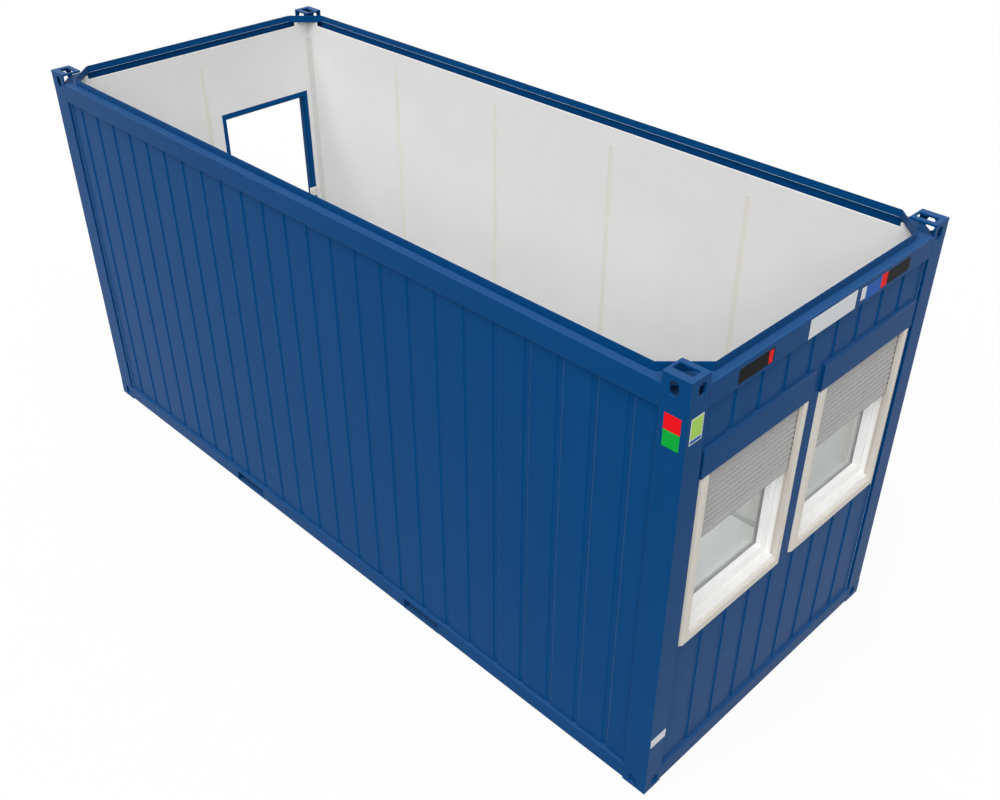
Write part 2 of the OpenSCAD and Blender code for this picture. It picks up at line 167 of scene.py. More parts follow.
class CabinStage(bpy.types.PropertyGroup):
    """Camera and light"""

    camera_place: bpy.props.FloatVectorProperty(
        name="Camera place", description="Where the camera stands",
        default=(5.3858, -4.8049, 5.7913), size=3, subtype="XYZ", unit="LENGTH",
    )
    camera_turn: bpy.props.FloatVectorProperty(
        name="Camera turn", description="How the camera is turned",
        default=(math.radians(55.255), math.radians(-0.057), math.radians(44.981)),
        size=3, subtype="EULER", unit="ROTATION",
    )
    lens: amount("Lens", "Focal length in millimetres on a 36 mm sensor", 40.628, 10.0, 200.0)
    sky: amount("Sky", "Strength of the even light all round", 0.34)
    key: amount("Key light", "Strength of the soft light from above the near side", 4.1)
    key_side: bpy.props.FloatVectorProperty(
        name="Key side", description="Direction that the key light comes from",
        default=(0.250, -0.440, 0.863), size=3, subtype="DIRECTION",
    )
    key_spread: bpy.props.FloatProperty(
        name="Key spread", description="Width of the key light, which softens its shadows",
        default=math.radians(80), subtype="ANGLE",
    )
    floor_tone: amount("Floor tone", "How much light the floor sends back to the object", 0.35, 0.0, 1.0)
    floor_shade: amount("Floor shade", "How much of the object's shadow the floor shows", 0.16, 0.0, 1.0)
    floor_mirrored: amount(
        "Floor mirrored", "How much of the floor's white the paint mirrors at the window end", 0.35, 0.0, 1.0,
    )
    floor_size: length("Floor size", "Width of the floor", 160.0)


def colours():
    return bpy.context.scene.cabin_colours


def sizes():
    return bpy.context.scene.cabin_sizes


def linear(value):
    """An 8-bit style colour as the linear colour that shaders take."""
    straight = [c / 12.92 if c <= 0.04045 else ((c + 0.055) / 1.055) ** 2.4 for c in value]
    return (*straight, 1.0)


def shade(value, factor):
    """A linear colour made darker or paler."""
    return (*[min(1.0, c * factor) for c in value[:3]], 1.0)


# ---- node trees ----


def node(tree, kind, inputs=None, **settings):
    """Adds a node, sets its options, and sets or links its inputs by name or number."""
    made = tree.nodes.new(kind)
    for key, value in settings.items():
        setattr(made, key, value)
    for key, value in (inputs or {}).items():
        if isinstance(value, bpy.types.NodeSocket):
            tree.links.new(value, made.inputs[key])
        else:
            made.inputs[key].default_value = value
    return made


def start_material(name):
    """A material with one Principled shader: (material, tree, shader, object coordinates)."""
    material = bpy.data.materials.new(name)
    material.use_nodes = True
    tree = material.node_tree
    tree.nodes.clear()
    shader = node(tree, "ShaderNodeBsdfPrincipled")
    node(tree, "ShaderNodeOutputMaterial", {"Surface": shader.outputs["BSDF"]})
    place = node(tree, "ShaderNodeTexCoord").outputs["Object"]
    return material, tree, shader, place


def maths(tree, operation, first, second):
    return node(tree, "ShaderNodeMath", {0: first, 1: second}, operation=operation).outputs[0]


def stretched(tree, place, scale):
    return node(tree, "ShaderNodeMapping", {"Vector": place, "Scale": scale}).outputs["Vector"]


def noise(tree, place, scale, detail=2.0, roughness=0.5):
    made = node(
        tree, "ShaderNodeTexNoise",
        {"Vector": place, "Scale": scale, "Detail": detail, "Roughness": roughness},
    )
    return made.outputs["Fac"]


def spread(tree, value, low, high, start=0.3, end=0.7):
    made = node(
        tree, "ShaderNodeMapRange",
        {"Value": value, "From Min": start, "From Max": end, "To Min": low, "To Max": high},
    )
    return made.outputs["Result"]


def blended(tree, factor, first, second):
    made = node(
        tree, "ShaderNodeMix", {MIX_FACTOR: factor, MIX_A: first, MIX_B: second}, data_type="RGBA",
    )
    return made.outputs[MIX_RESULT]


def raise_surface(tree, shader, height, distance, strength=0.5):
    made = node(tree, "ShaderNodeBump", {"Height": height, "Distance": distance, "Strength": strength})
    tree.links.new(made.outputs["Normal"], shader.inputs["Normal"])


def connect(tree, shader, colour_value, roughness_value):
    tree.links.new(colour_value, shader.inputs["Base Color"])
    tree.links.new(roughness_value, shader.inputs["Roughness"])


def painted_light_on_top(tree, tone, place, share, painted_top_light):
    """The tone with this share of a colour over it, in uneven patches, where the surface faces up: painted
    light on the tops, paler or darker by the colour given.
    """
    normal = node(tree, "ShaderNodeNewGeometry").outputs["Normal"]
    up = node(tree, "ShaderNodeSeparateXYZ", {"Vector": normal}).outputs["Z"]
    flat = spread(tree, up, 0.0, 1.0, 0.6, 1.0)
    patches = spread(tree, noise(tree, place, 3.0, 5.0, 0.65), 0.8 * share, 1.2 * share)
    return blended(tree, maths(tree, "MULTIPLY", flat, patches), tone, linear(painted_top_light))


def painted(name, value, rough=(0.20, 0.30), level=0.02, streak=(1.0, 1.0, 1.0), drift=0.035):
    """Enamel or coil coating: faint drifts of tone, orange peel, uneven gloss, a faint sheen, and painted
    reflection paling the faces that look up.
    """
    material, tree, shader, place = start_material(name)
    base = linear(value)
    cloud = noise(tree, stretched(tree, place, streak), 1.6, 4.0, 0.6)
    tone = blended(tree, spread(tree, cloud, 0.0, 1.0), shade(base, 1 - drift), shade(base, 1 + drift))
    # painted reflection: faces that look up are paled with a share of the pale top colour
    tone = painted_light_on_top(tree, tone, place, 0.022, colours().painted_top_light)
    peel = noise(tree, place, 260.0)
    connect(tree, shader, tone, spread(tree, noise(tree, place, 7.0, 3.0), *rough))
    shader.inputs["Specular IOR Level"].default_value = level
    shader.inputs["Sheen Weight"].default_value = 0.17
    shader.inputs["Sheen Roughness"].default_value = 0.30
    raise_surface(tree, shader, peel, 0.00012)
    return material


def board(name, value):
    """Coated board: a very fine linen skin and faint clouds."""
    material, tree, shader, place = start_material(name)
    base = linear(value)
    cloud = spread(tree, noise(tree, place, 2.2, 4.0, 0.6), 0.0, 1.0)
    tone = blended(tree, cloud, shade(base, 0.975), shade(base, 1.015))
    linen = noise(tree, stretched(tree, place, (1.0, 1.0, 0.25)), 900.0, 1.0)
    connect(tree, shader, tone, spread(tree, noise(tree, place, 40.0), 0.48, 0.58))
    shader.inputs["Specular IOR Level"].default_value = 0.12
    raise_surface(tree, shader, linen, 0.00006)
    return material


def plastic(name, value, rough=(0.36, 0.46)):
    """Extruded plastic: a faint drift of tone along it, a fine grain, and painted shade darkening the faces
    that look up.
    """
    material, tree, shader, place = start_material(name)
    base = linear(value)
    drift = spread(tree, noise(tree, place, 5.0, 3.0), 0.0, 1.0)
    tone = blended(tree, drift, shade(base, 0.97), shade(base, 1.02))
    # painted shade: faces that look up are darkened with a share of the grey top colour
    tone = painted_light_on_top(tree, tone, place, 0.3, colours().painted_top_shade)
    connect(tree, shader, tone, spread(tree, noise(tree, place, 60.0), *rough))
    shader.inputs["Specular IOR Level"].default_value = 0.15
    raise_surface(tree, shader, noise(tree, place, 1400.0), 0.00003)
    return material


def galvanised(name, value):
    """Zinc with its crystal pattern."""
    material, tree, shader, place = start_material(name)
    base = linear(value)
    crystal = node(tree, "ShaderNodeTexVoronoi", {"Vector": place, "Scale": 70.0})
    patch = node(tree, "ShaderNodeSeparateColor", {"Color": crystal.outputs["Color"]}).outputs["Red"]
    tone = blended(tree, patch, shade(base, 0.82), shade(base, 1.12))
    connect(tree, shader, tone, spread(tree, patch, 0.34, 0.56, 0.0, 1.0))
    shader.inputs["Metallic"].default_value = 0.75
    raise_surface(tree, shader, crystal.outputs["Distance"], 0.00015, 0.4)
    return material


def flooring(name, value):
    """Sheet flooring with small pale and dark flecks."""
    material, tree, shader, place = start_material(name)
    base = linear(value)
    fleck = node(tree, "ShaderNodeTexVoronoi", {"Vector": place, "Scale": 190.0})
    patch = node(tree, "ShaderNodeSeparateColor", {"Color": fleck.outputs["Color"]}).outputs["Green"]
    dark = blended(tree, spread(tree, patch, 1.0, 0.0, 0.0, 0.16), base, shade(base, 0.78))
    tone = blended(tree, spread(tree, patch, 0.0, 1.0, 0.86, 1.0), dark, shade(base, 1.14))
    wear = noise(tree, place, 3.0, 5.0, 0.65)
    connect(tree, shader, tone, spread(tree, wear, 0.42, 0.60))
    raise_surface(tree, shader, noise(tree, place, 320.0, 3.0), 0.0002, 0.4)
    return material


def rubber(name, value):
    """Matt moulded rubber."""
    material, tree, shader, place = start_material(name)
    base = linear(value)
    drift = spread(tree, noise(tree, place, 24.0), 0.0, 1.0)
    tone = blended(tree, drift, shade(base, 0.85), shade(base, 1.2))
    connect(tree, shader, tone, spread(tree, noise(tree, place, 90.0), 0.62, 0.78))
    raise_surface(tree, shader, noise(tree, place, 1100.0), 0.00005)
    return material


def glass(name):
    """Clear float glass with a faint green cast and barely uneven polish."""
    material, tree, shader, place = start_material(name)
    film = spread(tree, noise(tree, place, 4.0, 3.0), 0.0, 1.0)
    tone = blended(tree, film, (0.905, 0.925, 0.92, 1.0), (0.925, 0.94, 0.935, 1.0))
    connect(tree, shader, tone, spread(tree, film, 0.0, 0.02, 0.0, 1.0))
    shader.inputs["Transmission Weight"].default_value = 1.0
    shader.inputs["IOR"].default_value = 1.5
    return material


MATERIALS = {}
SEARCH_TREES = {}


def make_materials():
    c = colours()
    upright = (5.0, 5.0, 0.2)
    MATERIALS.update(
        frame_blue=painted("frame_enamel", c.enamel),
        sheet_blue=painted("wall_sheet_coating", c.sheet, (0.22, 0.32), streak=upright, drift=0.025),
        lining_white=board("lining_board", c.lining),
        cove_grey=plastic("corner_coves", c.cove, (0.45, 0.55)),
        strip_cream=plastic("cream_plastic", c.cream),
        joint_cream=plastic("joint_strip_plastic", c.strip),
        sash_white=plastic("white_plastic", c.white, (0.30, 0.42)),
        window_glass=glass("window_glass"),
        shutter_grey=plastic("slat_plastic", c.slat, (0.42, 0.52)),
        # painted light showing through the curtain's slots
        slot_pale=plastic("slot_backs", c.gap, (0.5, 0.6)),
        primer_grey=painted("beam_primer", c.primer, (0.55, 0.70), 0.1, drift=0.08),
        galvanised=galvanised("galvanised_sheet", c.zinc),
        floor_vinyl=flooring("floor_sheet", c.vinyl),
        skirting=plastic("skirting_plastic", c.skirting, (0.45, 0.55)),
        rubber=rubber("door_rubber", c.rubber),
        seal=rubber("seal_rubber", c.seal),
        # pale beads: partly sealant, partly a painted highlight along edges
        sealant=plastic("sealant", c.sealant, (0.45, 0.60)),
        plate_dark=painted("dark_plate", c.plate_dark, (0.4, 0.5)),
    )
    for tone in ("pale", "green", "lime", "red", "blue"):
        value = getattr(c, "plate_" + tone)
        MATERIALS["plate_" + tone] = painted(tone + "_plate", value, (0.35, 0.45))


# ---- mesh helpers ----


def plain_mesh(bm):
    """Turns a bmesh into a mesh."""
    mesh = bpy.data.meshes.new("shape")
    bm.to_mesh(mesh)
    bm.free()
    return mesh


def in_scene(name, data):
    """Adds an object to the scene."""
    made = bpy.data.objects.new(name, data)
    bpy.context.scene.collection.objects.link(made)
    return made


def mesh_of(bm, smooth_angle=35.0):
    """Turns a bmesh of closed shells into a mesh that is smooth across shallow angles only."""
    bmesh.ops.recalc_face_normals(bm, faces=bm.faces)
    mesh = plain_mesh(bm)
    mesh.shade_smooth()
    mesh.set_sharp_from_angle(angle=math.radians(smooth_angle))
    return mesh


def add_piece(name, mesh, finish, replaces=()):
    """Puts a finished mesh in the scene with its material and what it stands for."""
    mesh.name = name
    mesh.materials.clear()
    mesh.materials.append(MATERIALS[finish])
    piece = in_scene(name, mesh)
    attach(piece, "root")
    if replaces:
        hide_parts(*replaces)


def evaluated_mesh(holder):
    """The mesh an object shows with its modifiers, which are then dropped with the object."""
    depsgraph = bpy.context.evaluated_depsgraph_get()
    mesh = bpy.data.meshes.new_from_object(holder.evaluated_get(depsgraph))
    bpy.data.objects.remove(holder)
    return mesh


def islands(bm):
    """The vertices of each separate shell."""
    left = set(bm.verts)
    while left:
        queue, found = [left.pop()], []
        while queue:
            vert = queue.pop()
            found.append(vert)
            for edge in vert.link_edges:
                other = edge.other_vert(vert)
                if other in left:
                    left.remove(other)
                    queue.append(other)
        yield found


def box_of(verts):
    points = [v.co for v in verts]
    low = Vector([min(p[i] for p in points) for i in range(3)])
    return low, Vector([max(p[i] for p in points) for i in range(3)])


def merged_copy(node_name, wanted=None):
    """A CAD node, or its solids whose boxes are wanted, with joined corners and whole flat faces."""
    bm = bmesh.new()
    bm.from_mesh(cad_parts[node_name].data)
    for layers in (bm.loops.layers.uv, bm.loops.layers.float_vector):
        for layer in list(layers.values()):
            layers.remove(layer)
    bmesh.ops.remove_doubles(bm, verts=bm.verts, dist=MERGE)
    bmesh.ops.dissolve_limit(bm, angle_limit=FLAT_ANGLE, verts=bm.verts, edges=bm.edges)
    if wanted:
        for found in list(islands(bm)):
            if not wanted(*box_of(found)):
                bmesh.ops.delete(bm, geom=found, context="VERTS")
    return bm


def solids(node_name, wanted=None):
    """The box of each separate solid of a CAD node: [(lowest corner, highest corner)]."""
    bm = merged_copy(node_name, wanted)
    boxes = [box_of(found) for found in islands(bm)]
    bm.free()
    return sorted(boxes, key=lambda box: tuple(box[0]))


def search_tree(name):
    """A search tree of a CAD node's surface."""
    if name not in SEARCH_TREES:
        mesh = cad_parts[name].data
        points, faces = [v.co for v in mesh.vertices], [list(p.vertices) for p in mesh.polygons]
        SEARCH_TREES[name] = BVHTree.FromPolygons(points, faces)
    return SEARCH_TREES[name]


def neighbours(node_name):
    """Search trees of the CAD nodes that this one can touch."""
    low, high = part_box(node_name)
    found = []
    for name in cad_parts:
        start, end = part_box(name)
        if name != node_name and all(
            start[i] <= high[i] + TOUCH and end[i] >= low[i] - TOUCH for i in range(3)
        ):
            found.append(search_tree(name))
    return found


def face_width(face, edge):
    """How far a face reaches from one of its edges, or to the first parallel edge beside its middle."""
    start, length = edge.verts[0].co, edge.calc_length()
    along = (edge.verts[1].co - start) / length
    places = {v: (v.co - start).dot(along) for v in face.verts}
    gaps = {v: (v.co - start - along * places[v]).length for v in face.verts}
    widths = [max(gaps.values())]
    for other in face.edges:
        low, high = sorted(places[v] for v in other.verts)
        if other != edge and high - low > 0.999 * other.calc_length() and low < length / 2 < high:
            widths.append(gaps[other.verts[0]])
    return min(widths)


def rounded_mesh(bm, radius, steps=3, around=()):
    """Rounds the folds of a shell, less where a face is narrow and not where it meets what is around."""
    weights = bm.edges.layers.float.new("bevel_weight_edge")
    for edge in bm.edges:
        if len(edge.link_faces) == 2 and edge.calc_face_angle() > FOLD_ANGLE:
            middle = (edge.verts[0].co + edge.verts[1].co) / 2
            if not any(tree.find_nearest(middle, TOUCH)[0] for tree in around):
                room = min(face_width(face, edge) for face in edge.link_faces)
                edge[weights] = min(1.0, ROUND_SHARE * room / radius)
    mesh = plain_mesh(bm)
    stale = mesh.attributes.get("custom_normal")
    if stale:
        mesh.attributes.remove(stale)
    mesh.shade_smooth()
    mesh.set_sharp_from_angle(angle=FOLD_ANGLE)
    holder = in_scene("holder", mesh)
    bevel = holder.modifiers.new("rounding", "BEVEL")
    bevel.limit_method = "WEIGHT"
    bevel.width = radius
    bevel.segments = steps
    bevel.use_clamp_overlap = False
    bevel.harden_normals = True
    return evaluated_mesh(holder)


def rounded_node(node_name, radius, slot, steps=3):
    """Adds a CAD node with its free folds rounded, which stands for the plain node."""
    mesh = rounded_mesh(merged_copy(node_name), radius, steps, neighbours(node_name))
    add_piece("finished_" + node_name, mesh, slot, [node_name])


def coated_node(node_name, finish):
    """Gives a CAD node that is kept as it is a finish of its own."""
    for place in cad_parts[node_name].material_slots:
        place.material = MATERIALS[finish]


def rounded_outline(points, radius, steps=4):
    """An outline with each of its corners drawn as an arc of about this radius."""
    result = []
    for i, corner in enumerate(points):
        corner, before, after = Vector(corner), Vector(points[i - 1]), Vector(points[(i + 1) % len(points)])
        back, on = before - corner, after - corner
        cut = min(radius, 0.45 * back.length, 0.45 * on.length)
        start, end = corner + back.normalized() * cut, corner + on.normalized() * cut
        for k in range(steps + 1):
            t = k / steps
            result.append(start * (1 - t) ** 2 + corner * 2 * t * (1 - t) + end * t * t)
    return result


def rounded_box(low, high, radius, steps=4):
    """A rectangle's outline, from corner to corner, with rounded corners."""
    return rounded_outline([low, (high[0], low[1]), high, (low[0], high[1])], radius, steps)


def loft(bm, loops):
    """Joins closed loops of equal count into one capped tube."""
    rings = [[bm.verts.new(point) for point in loop] for loop in loops]
    count = len(rings[0])
    for first, second in zip(rings, rings[1:]):
        for i in range(count):
            j = (i + 1) % count
            bm.faces.new((first[i], first[j], second[j], second[i]))
    bm.faces.new(reversed(rings[0]))
    bm.faces.new(rings[-1])


def run(bm, outline, start, end, out, up):
    """Runs an outline of (out, up) points straight from start to end."""
    out, up = Vector(out), Vector(up)
    loops = [[Vector(base) + out * p[0] + up * p[1] for p in outline] for base in (start, end)]
    loft(bm, loops)


def slab(bm, low, high):
    """A plain box."""
    low, high = Vector(low), Vector(high)
    outline = [(0, 0), (high.x - low.x, 0), (high.x - low.x, high.y - low.y), (0, high.y - low.y)]
    run(bm, outline, low, (low.x, low.y, high.z), (1, 0, 0), (0, 1, 0))


def ring(bm, outline, centre, width, low, high, gap=0.0):
    """Four mitred members round an opening in the end wall: outline points are (x, inset)."""
    def corner(side, top, shift):
        return [
            Vector((
                x,
                centre + side * (width / 2 - inset) + shift[0],
                (high - inset if top else low + inset) + shift[1],
            ))
            for x, inset in outline
        ]

    spans = [
        ((-1, 0), (1, 0), (gap, 0)), ((1, 0), (1, 1), (0, gap)),
        ((1, 1), (-1, 1), (-gap, 0)), ((-1, 1), (-1, 0), (0, -gap)),
    ]
    for first, second, shift in spans:
        away = (-shift[0], -shift[1])
        loft(bm, [corner(*first, shift), corner(*second, away)])


# ---- geometry trees ----


def new_tree(name, inputs):
    """A geometry tree with named inputs given as (label, socket type, default)."""
    tree = bpy.data.node_groups.new(name, "GeometryNodeTree")
    tree.interface.new_socket("Geometry", in_out="INPUT", socket_type="NodeSocketGeometry")
    for label, kind, default in inputs:
        socket = tree.interface.new_socket(label, in_out="INPUT", socket_type="NodeSocket" + kind)
        if default is not None:
            socket.default_value = default
    tree.interface.new_socket("Geometry", in_out="OUTPUT", socket_type="NodeSocketGeometry")
    return tree, tree.nodes.new("NodeGroupInput").outputs


def end_tree(tree, geometry, finish):
    solid = node(tree, "GeometryNodeRealizeInstances", {"Geometry": geometry})
    coated = node(
        tree, "GeometryNodeSetMaterial", {"Geometry": solid.outputs["Geometry"], "Material": finish},
    )
    node(tree, "NodeGroupOutput", {"Geometry": coated.outputs["Geometry"]})


def along(tree, axis, distance):
    """An offset along one axis."""
    return node(tree, "ShaderNodeCombineXYZ", {axis: distance}).outputs[0]


def points_in_line(tree, count, step, start=(0.0, 0.0, 0.0)):
    return node(
        tree, "GeometryNodeMeshLine", {"Count": count, "Start Location": start, "Offset": step},
        mode="OFFSET",
    ).outputs["Mesh"]


def copies(tree, points, shape):
    """The shape repeated on points."""
    made = node(tree, "GeometryNodeInstanceOnPoints", {"Points": points, "Instance": shape})
    return made.outputs["Instances"]


def shape_of(tree, socket):
    return node(tree, "GeometryNodeObjectInfo", {"Object": socket}).outputs["Geometry"]


def random_size(tree, size, uneven, seed):
    """A seeded size between size times (1 - uneven) and size times (1 + uneven)."""
    low = maths(tree, "MULTIPLY", size, maths(tree, "SUBTRACT", 1.0, uneven))
    high = maths(tree, "MULTIPLY", size, maths(tree, "ADD", 1.0, uneven))
    made = node(tree, "FunctionNodeRandomValue", data_type="FLOAT")
    for socket in made.inputs:
        value = {"Min": low, "Max": high, "Seed": seed}.get(socket.name)
        if value is not None and socket.enabled:
            tree.links.new(value, socket)
    return next(s for s in made.outputs if s.enabled)


def fixings_tree():
    """One part on each point, turned to the point's facing attribute."""
    tree, entry = new_tree("Fixings", [
        ("Part", "Object", None), ("Size", "Float", 0.005), ("Uneven", "Float", 0.0),
        ("Seed", "Int", 3), ("Finish", "Material", None),
    ])
    facing = node(tree, "GeometryNodeInputNamedAttribute", {"Name": "facing"}, data_type="FLOAT_VECTOR")
    turn = node(
        tree, "FunctionNodeAlignRotationToVector",
        {"Vector": next(s for s in facing.outputs if s.enabled)}, axis="Z",
    )
    placed = node(tree, "GeometryNodeInstanceOnPoints", {
        "Points": entry["Geometry"], "Instance": shape_of(tree, entry["Part"]),
        "Rotation": turn.outputs["Rotation"],
        "Scale": random_size(tree, entry["Size"], entry["Uneven"], entry["Seed"]),
    })
    end_tree(tree, placed.outputs["Instances"], entry["Finish"])
    return tree


def bead_tree():
    """A round bead along every edge of a path."""
    tree, entry = new_tree("Bead", [("Size", "Float", 0.002), ("Finish", "Material", None)])
    path = node(tree, "GeometryNodeMeshToCurve", {"Mesh": entry["Geometry"]})
    circle = node(
        tree, "GeometryNodeCurvePrimitiveCircle", {"Resolution": 8, "Radius": entry["Size"]}, mode="RADIUS",
    )
    tube = node(tree, "GeometryNodeCurveToMesh", {
        "Curve": path.outputs["Curve"], "Profile Curve": circle.outputs["Curve"], "Fill Caps": True,
    })
    end_tree(tree, tube.outputs["Mesh"], entry["Finish"])
    return tree


def curtain_tree():
    """Rows of slats hanging from the origin, each with its pierced strip, holes staggered row by row."""
    tree, entry = new_tree("Shutter curtain", [
        ("Slat", "Object", None), ("Pierced strip", "Object", None), ("Rows", "Int", 12),
        ("Row pitch", "Float", 0.038), ("Holes", "Int", 31), ("Hole pitch", "Float", 0.028),
        ("Finish", "Material", None),
    ])
    pitch = entry["Hole pitch"]
    drop = along(tree, "Z", maths(tree, "MULTIPLY", entry["Row pitch"], -1.0))
    rows = points_in_line(tree, entry["Rows"], drop)
    slats = copies(tree, rows, shape_of(tree, entry["Slat"]))
    half = maths(tree, "MULTIPLY", maths(tree, "SUBTRACT", entry["Holes"], 1.0), -0.5)
    first = along(tree, "Y", maths(tree, "MULTIPLY", half, pitch))
    line = points_in_line(tree, entry["Holes"], along(tree, "Y", pitch), first)
    pierced = copies(tree, line, shape_of(tree, entry["Pierced strip"]))
    strip = node(tree, "GeometryNodeGeometryToInstance", {0: pierced})
    odd = maths(tree, "MODULO", node(tree, "GeometryNodeInputIndex").outputs["Index"], 2.0)
    side = maths(tree, "MULTIPLY", maths(tree, "SUBTRACT", odd, 0.5), 0.5)
    shift = along(tree, "Y", maths(tree, "MULTIPLY", side, pitch))
    staggered = node(tree, "GeometryNodeSetPosition", {"Geometry": rows, "Offset": shift})
    strips = copies(tree, staggered.outputs["Geometry"], strip.outputs[0])
    both = node(tree, "GeometryNodeJoinGeometry")
    for geometry in (slats, strips):
        tree.links.new(geometry, both.inputs[0])
    end_tree(tree, both.outputs[0], entry["Finish"])
    return tree


def run_tree(tree, source, values):
    """Runs a tree on a mesh and returns the plain mesh it makes."""
    holder = in_scene("holder", source)
    modifier = holder.modifiers.new("shape", "NODES")
    modifier.node_group = tree
    for item in tree.interface.items_tree:
        if item.in_out == "INPUT" and item.name in values:
            modifier[item.identifier] = values[item.name]
    return evaluated_mesh(holder)


def template(mesh):
    """A shape kept out of the picture, for a tree to repeat."""
    return bpy.data.objects.new("template", mesh)


def points_mesh(places):
    """Loose points with a facing direction: places are (point, direction)."""
    mesh = bpy.data.meshes.new("points")
    mesh.from_pydata([tuple(p) for p, _ in places], [], [])
    facing = mesh.attributes.new("facing", "FLOAT_VECTOR", "POINT")
    for i, (_, direction) in enumerate(places):
        facing.data[i].vector = direction
    return mesh


def path_mesh(points):
    """Edges from point to point."""
    mesh = bpy.data.meshes.new("path")
    mesh.from_pydata([tuple(p) for p in points], [(i, i + 1) for i in range(len(points) - 1)], [])
    return mesh


def screw_head():
    """A pan head with a cross recess, one unit in radius, standing on its own base."""
    bm = bmesh.new()
    profile = [(1.0, 0.0), (1.0, 0.22), (0.86, 0.46), (0.55, 0.62), (0.34, 0.66), (0.20, 0.40)]
    count = 12
    loops = []
    for radius, height in profile:
        wave = 0.35 if radius < 0.4 else 0.0
        loop = []
        for i in range(count):
            turn = math.tau * i / count
            reach = radius * (1 + wave * math.cos(4 * turn))
            loop.append(Vector((reach * math.cos(turn), reach * math.sin(turn), height)))
        loops.append(loop)
    loft(bm, loops)
    return template(mesh_of(bm, 50.0))


def add_screws(name, places, size):
    """Screw heads of this radius at (point, direction) places, as one piece."""
    head = screw_head()
    values = {"Part": head, "Size": size, "Finish": MATERIALS["galvanised"]}
    mesh = run_tree(fixings_tree(), points_mesh(places), values)
    bpy.data.objects.remove(head)
    add_piece(name, mesh, "galvanised")


def add_beads(name, paths, size):
    """Beads of sealant along meshes of loose edges, as one piece; their pale colour is a painted highlight
    along those edges.
    """
    joined = bmesh.new()
    for path in paths:
        joined.from_mesh(path)
    values = {"Size": size, "Finish": MATERIALS["sealant"]}
    beads = run_tree(bead_tree(), plain_mesh(joined), values)
    beads.shade_smooth()
    add_piece(name, beads, "sealant")


def node_edges(node_name, wanted):
    """A mesh of the CAD node's edges that are wanted, judged by their two ends."""
    bm = merged_copy(node_name)
    drop = [e for e in bm.edges if not wanted(e.verts[0].co, e.verts[1].co)]
    bmesh.ops.delete(bm, geom=drop, context="EDGES_FACES")
    loose = [v for v in bm.verts if not v.link_edges]
    bmesh.ops.delete(bm, geom=loose, context="VERTS")
    bmesh.ops.delete(bm, geom=list(bm.faces), context="FACES_ONLY")
    return plain_mesh(bm)


# ---- places worked out from the frame ----

RAIL_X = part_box("window_end_top_rail")[1].x
RAIL_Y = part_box("back_top_rail")[1].y
WEB_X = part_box("window_end_top_rail")[0].x
WEB_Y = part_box("back_top_rail")[0].y
LEDGE_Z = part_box("corner_gussets")[0].z + 0.004
POST = (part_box("back_top_rail")[1].x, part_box("window_end_top_rail")[1].y)
ROOM_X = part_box("window_end_lining")[0].x
ROOM_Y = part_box("back_lining")[0].y
FLOOR_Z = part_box("floor_board")[1].z
WAIST_Z = FLOOR_Z + 1.0
DOOR_LOW, DOOR_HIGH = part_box("door_frame")
WINDOWS = {
    side: (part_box(side + "_window_sash"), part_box(side + "_shutter_frame")) for side in ("front", "back")
}


def window_centre(side):
    low, high = WINDOWS[side][0]
    return (low.y + high.y) / 2


# ---- operators ----


